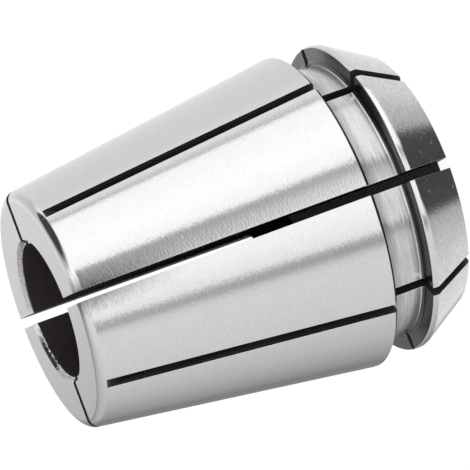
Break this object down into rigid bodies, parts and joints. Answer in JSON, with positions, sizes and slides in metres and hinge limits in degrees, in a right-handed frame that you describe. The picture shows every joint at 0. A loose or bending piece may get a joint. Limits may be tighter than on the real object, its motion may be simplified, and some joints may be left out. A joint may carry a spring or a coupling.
{
  "type": "er collet",
  "caption": "Spring collet: a slotted steel cone with a plain bore, a nut groove and a short nose cone, for gripping a round tool shank.",
  "frame": {"origin": "centre of the nose face, the large end's flat, which it stands on", "axes": "+Z along the collet's axis, from the nose to the small end; +X and +Y each run through a slot that opens at the small end"},
  "size_m": [0.033, 0.033, 0.04],
  "materials": {
    "ground_steel": "ground bright, with fine marks round the axis"
  },
  "bodies": {
    "root": {"collet_body": "ground_steel"}
  },
  "joints": []
}
